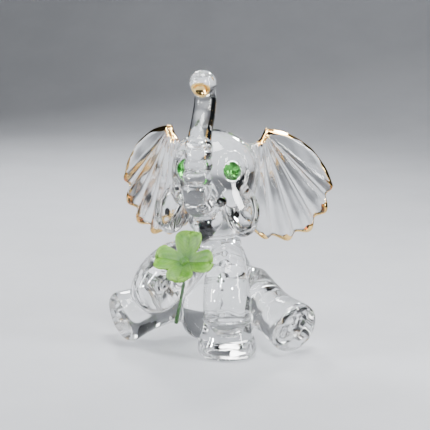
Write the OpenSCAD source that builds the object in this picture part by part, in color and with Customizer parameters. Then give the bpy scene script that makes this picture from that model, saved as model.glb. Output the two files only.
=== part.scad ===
// Seated baby elephant figurine in clear crystal glass, with gold lustre edges,
// green crystal eyes and a green four-leaf clover on a stem.
// Millimetres. +Z is up, the elephant looks along -Y and its own left side is +X.
// The origin is on the resting surface, below the middle of the figurine.

/* [Head] */
// Radius of the head
head_r = 10.5; // [10:0.1:11]
// Height of the middle of the head above the resting surface
head_z = 43; // [42:0.5:45]
// Turn of each eye away from straight ahead, in degrees
eye_turn = 43; // [40:1:48]
// Diameter of the eye stones
eye_d = 4.7; // [4:0.1:5]
// Width of each cheek
cheek_w = 8.1; // [7.4:0.1:9]

/* [Trunk] */
// Radius of the ridged lower half of the trunk
trunk_r = 3.25; // [3:0.05:3.5]
// Radius of the plain upper half of the trunk
trunk_upper_r = 2.75; // [2.4:0.05:3]
// Reach of the trunk in front of the middle of the head
trunk_reach = 21.2; // [20:0.1:22]
// Radius of the rounded tip
tip_r = 3.25; // [3.1:0.05:3.6]
// Number of ridges on the lower half
ridge_count = 6; // [4:1:8]

/* [Ears] */
// Length of the upper edge of each ear, from its top corner to its outer tip
ear_len = 26.0; // [24:0.1:28]
// Angle by which each ear is swept back, in degrees
ear_sweep = 38; // [34:1:44]
// Thickness of the ear glass
ear_t = 1.9; // [1.5:0.1:2.4]
// Depth of the pressed pleats, from ridge to valley
pleat_depth = 1.3; // [0.6:0.1:1.6]
// Number of pleats in the fan
pleat_count = 5; // [4:1:7]
// Thickness of the gold lustre at the edges
gold_t = 0.25; // [0.2:0.05:0.4]

/* [Body and legs] */
// Radius of the belly
belly_r = 11.3; // [10.5:0.1:12]
// Height of the top of the body, where the neck starts
body_h = 24; // [23:0.5:25]
// Radius of the standing front foot
foot_r = 7.2; // [6.5:0.1:7.6]
// Height of the ankle seam on the standing front leg
ankle_z = 9.4; // [8:0.1:10.5]
// Radius of each hind foot
hind_foot_r = 6.6; // [6:0.1:7]
// Angle of each hind leg away from straight ahead, in degrees
hind_turn = 48; // [44:1:52]

/* [Clover] */
// Length of each clover leaf
leaf_len = 6.6; // [5.5:0.1:7.5]
// Thickness of the leaves
leaf_t = 0.8; // [0.6:0.1:1.2]
// Radius of the stem at its lower end
stem_r = 0.55; // [0.4:0.05:0.7]

/* [Hidden] */

LEFT = 1;
RIGHT = -1;
SMOOTH = 72;
SIDES = 20;

glass_tint = [0.86, 0.91, 0.95];
gold_tint = [0.86, 0.62, 0.22];
crystal_tint = [0.16, 0.62, 0.16];
foil_tint = [0.75, 0.77, 0.78];
leaf_tint = [0.50, 0.75, 0.18];
stem_tint = [0.10, 0.32, 0.10];

// The head sits a little in front of the body's own axis.
head_at = [0, -4, head_z];
torso_y = 1.5;
tail_back = 16.6;
trunk_front = head_at.y - trunk_reach;
// Moves everything so that the origin is below the middle of the whole figurine.
centre_y = -(trunk_front + tail_back) / 2;

jaw_half_w = 3.9;
mouth_r = 3.1;
mouth_at = [0, -15, 36.2];

eye_lift = 10;
dish_r = 22;
dish_depth = 1.5;
dish_spread = 1.1;
crown_h = 0.85;
girdle_h = 0.25;
pavilion_h = 1.9;
foil_t = 0.12;
culet_r = 0.2;

// Side of the box that cuts the foot from its leg.
cut_size = 40;

// Centre line of the trunk in the YZ plane: it dips out of the face, turns up in
// front of the eyes, leans back over the brow and curls forward at the tip.
trunk_line = [
    [-9, head_z - 1.5], [-14.5, head_z - 3.6], [trunk_front + trunk_r + 1.6, head_z - 4.4],
    [trunk_front + trunk_r + 0.1, head_z + 0.3], [-20.3, head_z + 5.2], [-20, head_z + 9],
    [-17.7, head_z + 12.3], [-14.6, head_z + 15.9], [-13.1, head_z + 19.6],
    [-14, head_z + 22.8]
];
tip_at = [0, -16.1, head_z + 24];
nostril_dir = [0, -0.80, -0.60];
nostril_r = 2;

ear_corner = [11.3, -1, head_z + 10.6];
arc_end = 37.8;
arc_sagitta = 4;
fan_end = 100;
fan_r = 30.5;
fan_inner_r = 25.2;
scallop = 1.2;
// Corners of the outline as [angle below the u axis, distance from the top corner].
hook_start = [152, 5.6];
hook_end = [40, 1.2];
root_start = [103, 23.6];
root_end = [128, 9.5];
// Where along the fan, from 0 to 1, its reach is greatest.
fan_turn = 0.45;
// Where the ear's surface grid starts, just inside the top corner.
ear_grid_centre = [0.4, 0, -2.2];
hook_columns = 5;
arc_columns = 14;
fan_columns = 40;
root_columns = 8;
ear_rows = 4;

front_foot_at = [5.9, -15.5, 0];
raised_foot_at = [-13, -10.9, 12.3];
raised_seam_at = [0.9, 1.1, 3.4];
raised_seam_dir = unit([0.45, 0.53, 0.72]);
raised_shoulder = [-4.6, -1.6, 20.2];
// Sideways direction that the bend of the raised leg turns about.
raised_hinge = [0.75, -0.66, 0];
hip = [6.9, 2.4, 11.3];
hind_len = 21.5;
hind_drop = 13.7;
hind_ankle = 0.66;

clover_at = [-3.8, -18.4, 23.2];
clover_tilt = 42;
clover_turn = 12;
clover_roll = -18;
leaf_cup = 16;
centre_r = 1.35;
stem_foot = [-9, -6.9, 4.7];

// ---------- helpers ----------

function unit(v) = v / norm(v);
function blend(a, b, t) = a + (b - a) * t;

// Point on a smooth curve through all the points of a list, for t from 0 to 1.
function spline(p, t) =
    let (n = len(p) - 1, s = min(floor(t * n), n - 1), u = t * n - s)
    let (a = p[max(s - 1, 0)], b = p[s], c = p[s + 1], d = p[min(s + 2, n)])
    0.5 * (2 * b + (c - a) * u + (2 * a - 5 * b + 4 * c - d) * u * u
        + (3 * b - a - 3 * c + d) * u * u * u);
function smooth(p, steps) = [for (i = [0:steps]) spline(p, i / steps)];

// Direction of a line of points at point i.
function heading(p, i) = unit(p[min(i + 1, len(p) - 1)] - p[max(i - 1, 0)]);

// One ring of points around a centre, across the given direction.
function ring(c, dir, ref, ra, rb, sides) =
    let (side = unit(cross(ref, dir)), up = cross(dir, side))
    [for (k = [0:sides - 1]) c + side * ra * cos(360 * k / sides)
        + up * rb * sin(360 * k / sides)];

// A closed solid through rings that all have the same number of points.
module skin(rings) {
    n = len(rings[0]);
    last = len(rings) - 1;
    points = [for (r = rings) each r];
    walls = [for (i = [0:last - 1], k = [0:n - 1])
        let (a = i * n + k, b = i * n + (k + 1) % n) each [[a, b + n, b], [a, a + n, b + n]]];
    first_cap = [for (k = [0:n - 1]) k];
    last_cap = [for (k = [n - 1:-1:0]) last * n + k];
    polyhedron(points, concat([first_cap], walls, [last_cap]));
}

// A gather of hot glass drawn along a smooth line. Each station is [x, y, z, ra, rb],
// with a radius across and a radius up, and each end is rounded over by a length.
module gather(stations, ref, steps = 10, rounds = [1, 1], sides = SIDES) {
    s = smooth(stations, steps);
    mid = [for (q = s) [q[0], q[1], q[2]]];
    turns = [12, 40, 66, 86];
    head_dir = heading(mid, 0);
    tail_dir = heading(mid, steps);
    first = [for (i = [len(turns) - 1:-1:0]) let (e = rounds[0], q = s[0])
        ring(mid[0] - head_dir * e * sin(turns[i]), head_dir, ref,
            q[3] - e * (1 - cos(turns[i])), q[4] - e * (1 - cos(turns[i])), sides)];
    core = [for (i = [0:steps]) ring(mid[i], heading(mid, i), ref, s[i][3], s[i][4], sides)];
    end = [for (i = [0:len(turns) - 1]) let (e = rounds[1], q = s[steps])
        ring(mid[steps] + tail_dir * e * sin(turns[i]), tail_dir, ref,
            q[3] - e * (1 - cos(turns[i])), q[4] - e * (1 - cos(turns[i])), sides)];
    skin(concat(first, core, end));
}

// Puts a child on the head where an eye is, with +Z pointing out of the head.
module at_eye(side) {
    translate(head_at)
        rotate([0, 0, side * eye_turn])
            rotate([90 - eye_lift, 0, 0])
                translate([0, 0, head_r - dish_depth])
                    children();
}

module mirrored(side) {
    if (side == LEFT) children();
    else mirror([1, 0, 0]) children();
}

// ---------- plain shapes, before they are cut to meet each other ----------

module torso_shape() {
    outline = [[belly_r - 3.3, 0], [belly_r - 0.7, 3.2], [belly_r, 8.5], [belly_r - 1.1, 14],
        [belly_r - 3.8, 19], [belly_r - 5.4, 22.4], [belly_r - 5.9, body_h]];
    translate([0, torso_y, 0])
        rotate_extrude($fn = SMOOTH)
            polygon(concat([[0, 0]], smooth(outline, 18), [[0, body_h]]));
}

module neck_shape() {
    outline = [[5.2, body_h], [6.5, body_h + 1.2], [5.4, body_h + 3], [5.3, body_h + 5.4],
        [6.6, body_h + 9.6]];
    translate([0, -1.7, 0])
        rotate_extrude($fn = SMOOTH)
            polygon(concat([[0, body_h]], smooth(outline, 12), [[0, body_h + 9.6]]));
}

module head_shape() {
    translate(head_at) sphere(r = head_r, $fn = SMOOTH);
}

module eye_dish(side) {
    at_eye(side)
        for (shift = [-dish_spread, dish_spread])
            translate([0, shift, dish_r])
                sphere(r = dish_r, $fn = SMOOTH);
}

module cheek_shape(side) {
    w = cheek_w / 2;
    mirrored(side)
        gather([[7.6, -9.6, 39.4, w * 0.72, 3.6], [8.3, -10.8, 37, w * 0.98, 4.9],
            [8.6, -11.2, 34.4, w, 5.2], [8.1, -11.1, 32.2, w * 0.8, 4.3]],
            [0, 1, 0], steps = 6, rounds = [2.3, 3.1]);
}

module trunk_shape() {
    steps = 44;
    ridged = 0.56;
    line = [for (i = [0:steps]) let (q = spline(trunk_line, i / steps)) [0, q[0], q[1]]];
    swell = function(t) t > 0.16 && t < ridged
        ? 0.22 * cos(360 * ridge_count * (t - 0.16) / (ridged - 0.16)) : 0;
    width = function(t) blend(trunk_r, trunk_upper_r, min(max((t - 0.4) / 0.3, 0), 1)) + swell(t);
    skin([for (i = [0:steps])
        ring(line[i], heading(line, i), [1, 0, 0], width(i / steps), width(i / steps), 16)]);
}

module tip_shape() {
    translate(tip_at) sphere(r = tip_r, $fn = SMOOTH);
}

module nostril_shape(grow = 0) {
    translate(tip_at + unit(nostril_dir) * tip_r * 0.86)
        sphere(r = nostril_r + grow, $fn = SMOOTH);
}

module jaw_shape() {
    gather([[0, -10, 29.6, 1.5, 3.2], [0, -10.9, 31, 2.9, 4.7], [0, -11.6, 33, jaw_half_w, 5.6]],
        [0, 1, 0], steps = 5, rounds = [1.1, 0.9]);
}

module tusk_shape(side) {
    mirrored(side)
        gather([[5.9, -11, 39.2, 1.6, 1.6], [5.4, -14.6, 38.3, 1.4, 1.4],
            [4.8, -18.2, 38, 1.15, 1.15]], [0, 0, 1], steps = 5, rounds = [0.5, 0.9], sides = 14);
}

// The standing leg is a leaning column with a rounded shoulder.
module standing_leg_shape() {
    gather([[5.9, -15.5, 2, 6, 6], [5.9, -15.5, ankle_z, 5.7, 5.7],
        [5.7, -14.6, 13, 5.8, 5.8], [5.2, -12.9, 17.5, 5.0, 5.0], [4.7, -11.2, 21, 3.9, 3.9]],
        [1, 0, 0], steps = 9, rounds = [1, 2.9]);
}

module standing_foot_shape() {
    outline = [[foot_r - 1.9, 0], [foot_r - 0.35, 0.5], [foot_r, 1.9], [foot_r - 0.35, 3.6],
        [foot_r - 1.05, 6], [foot_r - 1.3, ankle_z]];
    translate([front_foot_at.x, front_foot_at.y, 0])
        rotate_extrude($fn = SMOOTH)
            polygon(concat([[0, 0]], smooth(outline, 15), [[0, ankle_z]]));
}

module raised_leg_shape() {
    foot = raised_foot_at;
    inner = raised_shoulder;
    gather([[foot.x, foot.y, foot.z + 1.7, 6.4, 6.3],
        [foot.x + 1.6, foot.y + 2, foot.z + 4.5, 6.7, 6.5],
        [foot.x + 4.4, foot.y + 5.3, foot.z + 7, 6.5, 6.1],
        [inner.x, inner.y, inner.z, 5.2, 5]],
        raised_hinge, steps = 9, rounds = [1.7, 2]);
}

// A block on the foot's side of the seam around the raised leg.
module raised_seam() {
    size = 40;
    translate(raised_foot_at + raised_seam_at)
        rotate([0, acos(raised_seam_dir.z), atan2(raised_seam_dir.y, raised_seam_dir.x)])
            translate([-size / 2, -size / 2, -size])
                cube(size);
}

function hind_dir(side) =
    [side * sin(hind_turn) * cos(hind_drop), -cos(hind_turn) * cos(hind_drop), -sin(hind_drop)];

function hind_point(side, t) = [side * hip.x, hip.y, hip.z] + hind_dir(side) * hind_len * t;

function hind_station(side, t, ra, rb) = let (c = hind_point(side, t)) [c.x, c.y, c.z, ra, rb];

module hind_limb_shape(side) {
    gather([hind_station(side, 0, 6.6, 7.4), hind_station(side, 0.35, 5.8, 6.5),
        hind_station(side, hind_ankle, 5.5, 5.7), hind_station(side, 0.87, 6.35, 6.35),
        hind_station(side, 0.95, hind_foot_r, hind_foot_r)],
        [0, 0, 1], steps = 10, rounds = [2, 1.3]);
}

// Turns a child so that its +Z runs down a hind leg, from the point at t along it.
module along_hind(side, t) {
    translate(hind_point(side, t))
        rotate([0, 90 + hind_drop, atan2(-cos(hind_turn), side * sin(hind_turn))])
            children();
}

// A block beyond the seam of a hind leg, on the foot's side of it.
module hind_seam(side) {
    size = 40;
    along_hind(side, hind_ankle)
        translate([-size / 2, -size / 2, 0])
            cube(size);
}

// The round top of the right hind leg, which the raised foot rests on.
module hind_bed() {
    along_hind(RIGHT, 0)
        cylinder(r1 = 7.4, r2 = 5.6, h = hind_len * hind_ankle, $fn = SMOOTH);
}

module tail_shape() {
    tail_r = 1.15;
    gather([[0, 11.5, 9.4, 1.7, 1.7], [0, 13.9, 8.6, 1.5, 1.5], [0.4, 15, 5.6, 1.3, 1.3],
        [1.4, tail_back - tail_r, 3, tail_r, tail_r]], [1, 0, 0],
        steps = 7, rounds = [0.8, 1.1], sides = 14);
}

// ---------- ears ----------
// The ear lies in its own plane: u runs outwards and w runs down from the top corner.

// Outline of the ear as [angle below the u axis, distance from the top corner].
function hook_part(t) = blend(hook_start, hook_end, t);
function arc_part(t) =
    let (along = ear_len * t, rise = arc_sagitta * 4 * t * (1 - t), a = arc_end)
    let (u = along * cos(a) + rise * sin(a), w = along * sin(a) - rise * cos(a))
    [atan2(w, u), norm([u, w])];
function fan_part(t) =
    let (reach = t < fan_turn ? blend(ear_len, fan_r, sin(90 * t / fan_turn))
        : blend(fan_inner_r, fan_r, cos(180 * (t - fan_turn) / 1.1)))
    [blend(arc_end, fan_end, t), reach - scallop / 2 * (1 - cos(360 * pleat_count * t))];
function root_part(t) = blend(root_start, root_end, t);

function ear_outline() = concat(
    [for (i = [0:hook_columns - 1]) hook_part(i / hook_columns)],
    [for (i = [0:arc_columns - 1]) arc_part((i + 1.2) / (arc_columns + 1.2))],
    [for (i = [0:fan_columns]) fan_part(i / fan_columns)],
    [for (i = [0:root_columns]) root_part(i / root_columns)]
);

// Height of the pleated surface above the ear's plane.
function pleat(angle) =
    angle < arc_end - 14 ? 0
    : pleat_depth / 2 * cos(360 * pleat_count * (angle - arc_end) / (fan_end - arc_end) + 180);

// A point of the ear's edge. The edge is thinner than the middle of the ear.
function ear_point(column, face) =
    let (a = column[0], r = column[1])
    [r * cos(a), pleat(a) + face * ear_t * 0.4, -r * sin(a)];

module ear_frame(side) {
    mirrored(side)
        translate(ear_corner)
            rotate([0, 0, ear_sweep])
                children();
}

module ear_fan() {
    out = ear_outline();
    n = len(out);
    rows = ear_rows;
    middle = [0, ear_t * 0.6, 0];
    fan_points = function(face) [for (j = [0:n - 1], i = [1:rows])
        blend(ear_grid_centre + face * middle, ear_point(out[j], face), i / rows)];
    front = concat([ear_grid_centre - middle], fan_points(-1));
    back = concat([ear_grid_centre + middle], fan_points(1));
    m = len(front);
    cell = function(j, i) 1 + (j % n) * rows + i;
    front_faces = [for (j = [0:n - 1]) each concat(
        [[0, cell(j, 0), cell(j + 1, 0)]],
        [for (i = [0:rows - 2]) each [[cell(j, i), cell(j, i + 1), cell(j + 1, i + 1)],
            [cell(j, i), cell(j + 1, i + 1), cell(j + 1, i)]]])];
    back_faces = [for (f = front_faces) [f[2] + m, f[1] + m, f[0] + m]];
    edge_faces = [for (j = [0:n - 1]) let (a = cell(j, rows - 1), b = cell(j + 1, rows - 1))
        each [[b, a, a + m], [b, a + m, b + m]]];
    polyhedron(concat(front, back), concat(front_faces, back_faces, edge_faces));
}

module ear_shape(side) {
    ear_frame(side) ear_fan();
}

// A thin band of gold all along the free edge, from the hook to the lowest scallop.
module gold_band() {
    out = ear_outline();
    first = 1;
    last = hook_columns + arc_columns + fan_columns - 1;
    outward = function(j)
        let (d = ear_point(out[j + 1], 0) - ear_point(out[j - 1], 0)) unit([d.z, 0, -d.x]);
    skin([for (j = [first:last]) let (a = ear_point(out[j], -1), b = ear_point(out[j], 1))
        [a, b, b + outward(j) * gold_t, a + outward(j) * gold_t]]);
}

// ---------- clover ----------

module clover_frame() {
    translate(clover_at)
        rotate([0, 0, clover_turn])
            rotate([90 - clover_tilt, 0, clover_roll])
                children();
}

module leaf_shape(turn, stretch) {
    lobe_r = leaf_len * 0.27;
    reach = leaf_len * stretch - lobe_r;
    clover_frame()
        rotate([0, 0, turn])
            rotate([leaf_cup, 0, 0])
                linear_extrude(leaf_t)
                    union() {
                        for (s = [-1, 1])
                            translate([s * lobe_r * 0.86, reach]) circle(r = lobe_r, $fn = 48);
                        polygon([[0.5, 0.6], [lobe_r * 1.8, reach - lobe_r * 0.35], [0, reach],
                            [-lobe_r * 1.8, reach - lobe_r * 0.35], [-0.5, 0.6]]);
                    }
}

module centre_shape() {
    clover_frame()
        translate([0, 0, -0.5])
            cylinder(r1 = centre_r, r2 = centre_r * 0.7, h = leaf_t + 1, $fn = 48);
}

module stem_shape() {
    top = clover_at + [0, 0.3, -0.3];
    gather([[stem_foot.x, stem_foot.y, stem_foot.z, stem_r, stem_r],
        [-7.2, -10.3, 10.8, stem_r * 0.9, stem_r * 0.9],
        [-4.8, -15, 16.8, stem_r * 0.72, stem_r * 0.72],
        [top.x, top.y, top.z, stem_r * 0.6, stem_r * 0.6]],
        [1, 0, 0], steps = 9, rounds = [0.2, 0.1], sides = 10);
}

// ---------- nodes ----------

module body() {
    color(glass_tint) torso_shape();
}

module neck() {
    color(glass_tint)
        difference() {
            neck_shape();
            head_shape();
        }
}

module head() {
    color(glass_tint)
        difference() {
            head_shape();
            for (side = [LEFT, RIGHT]) {
                eye_dish(side);
                at_eye(side) {
                    eye_pocket();
                    cylinder(r = eye_d / 2 + foil_t, h = dish_depth, $fn = SMOOTH);
                }
            }
        }
}

module cheek(side) {
    color(glass_tint)
        difference() {
            cheek_shape(side);
            head_shape();
            trunk_shape();
        }
}

module lower_jaw() {
    color(glass_tint)
        difference() {
            jaw_shape();
            head_shape();
            neck_shape();
            translate(mouth_at) sphere(r = mouth_r, $fn = SMOOTH);
            for (side = [LEFT, RIGHT]) cheek_shape(side);
        }
}

module tusk(side) {
    color(glass_tint)
        difference() {
            tusk_shape(side);
            head_shape();
            cheek_shape(side);
        }
}

module trunk() {
    color(glass_tint)
        difference() {
            trunk_shape();
            head_shape();
            tip_shape();
        }
}

module trunk_tip() {
    color(glass_tint)
        difference() {
            tip_shape();
            nostril_shape();
        }
}

module trunk_tip_gold() {
    color(gold_tint)
        difference() {
            intersection() {
                tip_shape();
                nostril_shape();
            }
            nostril_shape(-gold_t);
        }
}

module ear(side) {
    color(glass_tint)
        difference() {
            ear_shape(side);
            head_shape();
            cheek_shape(side);
        }
}

module ear_gold_rim(side) {
    color(gold_tint)
        ear_frame(side) gold_band();
}

// Tapered pocket that the foil and the stone sit in, with its mouth at z = 0.
module eye_pocket() {
    translate([0, 0, -pavilion_h])
        cylinder(r1 = culet_r + foil_t, r2 = eye_d / 2 + foil_t, h = pavilion_h, $fn = SMOOTH);
}

module eye_foil(side) {
    color(foil_tint)
        at_eye(side)
            difference() {
                eye_pocket();
                stone_back();
            }
}

module stone_back() {
    depth = pavilion_h - foil_t;
    translate([0, 0, -depth])
        cylinder(r1 = culet_r, r2 = eye_d / 2, h = depth, $fn = SMOOTH);
}

module eye_crystal(side) {
    color(crystal_tint)
        at_eye(side)
            union() {
                stone_back();
                cylinder(d = eye_d, h = girdle_h, $fn = SMOOTH);
                translate([0, 0, girdle_h])
                    cylinder(d1 = eye_d, d2 = eye_d * 0.56, h = crown_h, $fn = SMOOTH);
            }
}

module front_leg_left() {
    color(glass_tint)
        difference() {
            standing_leg_shape();
            torso_shape();
            translate([-cut_size, -cut_size, ankle_z - cut_size])
                cube([2 * cut_size, 2 * cut_size, cut_size]);
        }
}

module front_foot_left() {
    color(glass_tint)
        difference() {
            standing_foot_shape();
            torso_shape();
        }
}

module front_leg_right() {
    color(glass_tint)
        difference() {
            raised_leg_shape();
            torso_shape();
            raised_seam();
        }
}

module front_foot_right() {
    color(glass_tint)
        difference() {
            intersection() {
                raised_leg_shape();
                raised_seam();
            }
            hind_bed();
        }
}

module hind_leg(side) {
    color(glass_tint)
        difference() {
            hind_limb_shape(side);
            torso_shape();
            hind_seam(side);
        }
}

module hind_foot(side) {
    color(glass_tint)
        intersection() {
            hind_limb_shape(side);
            hind_seam(side);
        }
}

module tail() {
    color(glass_tint)
        difference() {
            tail_shape();
            torso_shape();
        }
}

module clover_leaf(turn, stretch = 1) {
    color(leaf_tint)
        difference() {
            leaf_shape(turn, stretch);
            centre_shape();
        }
}

module clover_centre() {
    color(leaf_tint) centre_shape();
}

module clover_stem() {
    color(stem_tint)
        difference() {
            stem_shape();
            centre_shape();
            raised_leg_shape();
            torso_shape();
        }
}

module placed() {
    translate([0, centre_y, 0]) children();
}

placed() body();
placed() neck();
placed() head();
placed() cheek(LEFT);  // cheek_left
placed() cheek(RIGHT);  // cheek_right
placed() lower_jaw();
placed() tusk(LEFT);  // tusk_left
placed() tusk(RIGHT);  // tusk_right
placed() trunk();
placed() trunk_tip();
placed() trunk_tip_gold();
placed() ear(LEFT);  // ear_left
placed() ear(RIGHT);  // ear_right
placed() ear_gold_rim(LEFT);  // ear_left_gold_rim
placed() ear_gold_rim(RIGHT);  // ear_right_gold_rim
placed() eye_foil(LEFT);  // eye_left_foil
placed() eye_foil(RIGHT);  // eye_right_foil
placed() eye_crystal(LEFT);  // eye_left_crystal
placed() eye_crystal(RIGHT);  // eye_right_crystal
placed() front_leg_left();
placed() front_foot_left();
placed() front_leg_right();
placed() front_foot_right();
placed() hind_leg(LEFT);  // hind_leg_left
placed() hind_foot(LEFT);  // hind_foot_left
placed() hind_leg(RIGHT);  // hind_leg_right
placed() hind_foot(RIGHT);  // hind_foot_right
placed() tail();
placed() clover_leaf(0, 1.15);  // clover_leaf_top
placed() clover_leaf(-90);  // clover_leaf_left
placed() clover_leaf(180);  // clover_leaf_bottom
placed() clover_leaf(90);  // clover_leaf_right
placed() clover_centre();
placed() clover_stem();
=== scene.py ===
# %% [markdown]
# # A seated elephant in crystal glass
# A maker of hot glass builds this ornament from soft gathers that are pressed
# onto each other and melt together. The ears are pressed in a pleated mould,
# the edges are painted with gold lustre, the eyes are cut stones, and a green
# clover on a wire is glued on last. This lesson builds each of those pieces
# around the measured frame of the figurine, in metres, with +Z up.

# %% Load the frame
import math

import bmesh
import bpy
import numpy as np
from mathutils import Matrix, Vector


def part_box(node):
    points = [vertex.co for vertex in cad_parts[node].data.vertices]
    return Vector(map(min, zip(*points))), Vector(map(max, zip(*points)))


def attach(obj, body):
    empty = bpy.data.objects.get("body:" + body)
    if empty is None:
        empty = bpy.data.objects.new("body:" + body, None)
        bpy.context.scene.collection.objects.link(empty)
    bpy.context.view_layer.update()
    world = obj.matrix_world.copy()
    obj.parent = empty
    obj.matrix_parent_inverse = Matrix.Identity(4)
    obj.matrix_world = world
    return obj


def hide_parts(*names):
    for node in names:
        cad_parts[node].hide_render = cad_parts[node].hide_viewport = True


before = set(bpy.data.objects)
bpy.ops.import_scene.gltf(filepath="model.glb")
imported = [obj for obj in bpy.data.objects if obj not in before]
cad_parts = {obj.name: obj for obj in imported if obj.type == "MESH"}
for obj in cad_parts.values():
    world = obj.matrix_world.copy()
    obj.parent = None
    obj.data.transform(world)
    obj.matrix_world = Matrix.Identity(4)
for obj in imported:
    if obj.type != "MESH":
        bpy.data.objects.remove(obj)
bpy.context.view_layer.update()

MM = 0.001
SIDES = ((1, "left"), (-1, "right"))
print("frame:", len(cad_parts), "nodes")


# %% [markdown]
# ## Measures
# Every place and size starts from the boxes of the frame's nodes. The glass is
# shaped in millimetres, which are easier to think in, and each mesh is scaled
# to metres when it is made.

# %% Read places from the frame
def node_box(node):
    low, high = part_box(node)
    return np.array(low) / MM, np.array(high) / MM


def middle(node):
    low, high = node_box(node)
    return (low + high) / 2


def vec(*xyz):
    return np.array(xyz, float)


def unit(v):
    return np.asarray(v, float) / np.linalg.norm(v)


head_mid = middle("head")
head_r = (node_box("head")[1][2] - node_box("head")[0][2]) / 2
torso_mid = middle("body") * [1, 1, 0]
torso_r = (node_box("body")[1][0] - node_box("body")[0][0]) / 2
body_top = node_box("body")[1][2]
foot_mid = middle("front_foot_left") * [1, 1, 0]
foot_r = (node_box("front_foot_left")[1][0] - node_box("front_foot_left")[0][0]) / 2
ankle_z = node_box("front_foot_left")[1][2]
tip_mid = middle("trunk_tip")
tip_r = (node_box("trunk_tip")[1][0] - node_box("trunk_tip")[0][0]) / 2
trunk_low, trunk_high = node_box("trunk")
print("head radius", round(head_r, 2), "mm, torso radius", round(torso_r, 2), "mm")

# %% [markdown]
# ## How the glass is shaped
# Fused glass has no sharp inside corners: wherever two gathers meet, surface
# tension pulls a small fillet. Modelling each limb as a mesh and joining them
# with booleans would leave hard creases, and metaballs can't hold a flat foot.
# So each gather is written as a distance field, a function that says how far a
# point is from its skin, and the fields are blended with a soft minimum whose
# width is the size of the fillet.


# %% Distance fields for gathers of glass
def spline(points, steps):
    """Points on a smooth curve through all the rows of a table."""
    p = np.asarray(points, float)
    n = len(p) - 1
    out = []
    for i in range(steps + 1):
        t = i / steps * n
        s = min(int(t), n - 1)
        u = t - s
        a, b, c, d = p[max(s - 1, 0)], p[s], p[s + 1], p[min(s + 2, n)]
        out.append(0.5 * (2 * b + (c - a) * u + (2 * a - 5 * b + 4 * c - d) * u * u
                          + (3 * b - a - 3 * c + d) * u ** 3))
    return np.array(out)


def rod(stations, ridged=False):
    """A drawn rod. Each station is x, y, z, radius.

    A plain rod is a chain of rounded cones. A ridged rod takes its radius from
    the nearest place on its centre line, so that grooves keep their full depth.
    """
    s = np.asarray(stations, float)

    def distance(p):
        best = np.full(len(p), 1e3)
        least = np.full(len(p), 1e3)
        for a, b in zip(s[:-1], s[1:]):
            ab = b[:3] - a[:3]
            t = np.clip((p - a[:3]) @ ab / (ab @ ab), 0, 1)
            gap = p - a[:3] - t[:, None] * ab
            away = np.sqrt((gap * gap).sum(1))
            skin = away - a[3] - t * (b[3] - a[3])
            best = np.where(away < least, skin, best) if ridged else np.minimum(best, skin)
            least = np.minimum(least, away)
        return best

    reach = s[:, 3].max() + 3
    return distance, s[:, :3].min(0) - reach, s[:, :3].max(0) + reach


def ball(mid, radii, turn=None):
    """A gather shaped like an egg, with three radii along its own axes."""
    radii = np.asarray(radii, float)
    turn = np.eye(3) if turn is None else np.asarray(turn)

    def distance(p):
        q = (p - mid) @ turn
        k0 = np.linalg.norm(q / radii, axis=1)
        k1 = np.linalg.norm(q / radii ** 2, axis=1)
        return k0 * (k0 - 1) / np.maximum(k1, 1e-6)

    reach = radii.max() + 3
    return distance, mid - reach, mid + reach


def lathe(base, axis, heights, radii, edge):
    """A turned shape round an axis, flat at both ends, with its edges rounded over."""
    axis = unit(axis)

    def distance(p):
        q = p - base
        h = q @ axis
        rho = np.sqrt(np.maximum((q * q).sum(1) - h * h, 0))
        wall = rho - np.interp(h, heights, radii)
        return soft_max(soft_max(wall, heights[0] - h, edge), h - heights[-1], edge)

    reach = max(radii) + 3
    ends = np.array([base + axis * heights[0], base + axis * heights[-1]])
    return distance, ends.min(0) - reach, ends.max(0) + reach


def collar(mid, ring_r, wire_r):
    """A ring of glass lying flat round the neck."""
    def distance(p):
        q = p - mid
        return np.hypot(np.hypot(q[:, 0], q[:, 1]) - ring_r, q[:, 2]) - wire_r

    reach = ring_r + wire_r + 3
    return distance, mid - reach, mid + reach


def soft_min(a, b, k):
    h = np.maximum(k - np.abs(a - b), 0) / k
    return np.minimum(a, b) - h * h * k / 4


def soft_max(a, b, k):
    return -soft_min(-a, -b, k)


# %% [markdown]
# ## The gathers
# The body is a pear with a flat base. The head is a ball with two oval dishes
# for the eyes. The trunk is a rod that was bitten with a tool while soft, which
# left the ridges, so its radius is a wave along its lower half. Each entry
# below is one gather and the fillet with which it melts into the others.

# %% Body, neck and head
glass = []


def add_gather(piece, shape, fillet, cut=False):
    glass.append((piece, shape, fillet, cut))


pear = [(6.5, -0.6), (9, 0), (13, -1.0), (17, -2.6), (20.5, -4.4), (body_top, -5.7)]
add_gather("body", lathe(torso_mid, (0, 0, 1), [0] + [z for z, _ in pear],
                         [torso_r - 3.0] + [torso_r + dr for _, dr in pear], 2.4), 1)

neck_mid = middle("neck")
neck_line = [(0, neck_mid[1], body_top - 1, 5.2), (0, neck_mid[1], body_top + 4, 5.0),
             (0, neck_mid[1] - 0.6, body_top + 9.5, 5.6)]
add_gather("neck", rod(neck_line), 1.2)
add_gather("body", collar(vec(0, neck_mid[1], body_top + 0.6), 5.1, 1.35), 0.7)
add_gather("head", ball(head_mid, [head_r, head_r, head_r]), 2.0)
print("body, neck and head:", len(glass), "gathers")

# %% [markdown]
# The cheeks are two plump lobes that lean outwards, and the jaw is a pointed
# lip with a hollow scooped out of it. The tusks are short stubs beside the
# root of the trunk. Left and right are one shape each, made twice.

# %% Cheeks, jaw and tusks
CHEEK_LEAN = math.radians(9)
for side, word in SIDES:
    cheek = middle("cheek_left") * [side, 1, 1] + vec(0, -0.3, -0.3)
    c, s = math.cos(CHEEK_LEAN), math.sin(CHEEK_LEAN) * side
    turn = [[c, 0, -s], [0, 1, 0], [s, 0, c]]
    add_gather("cheek_" + word, ball(cheek, [4.3, 5.3, 6.6], turn), 0.9)

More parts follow.
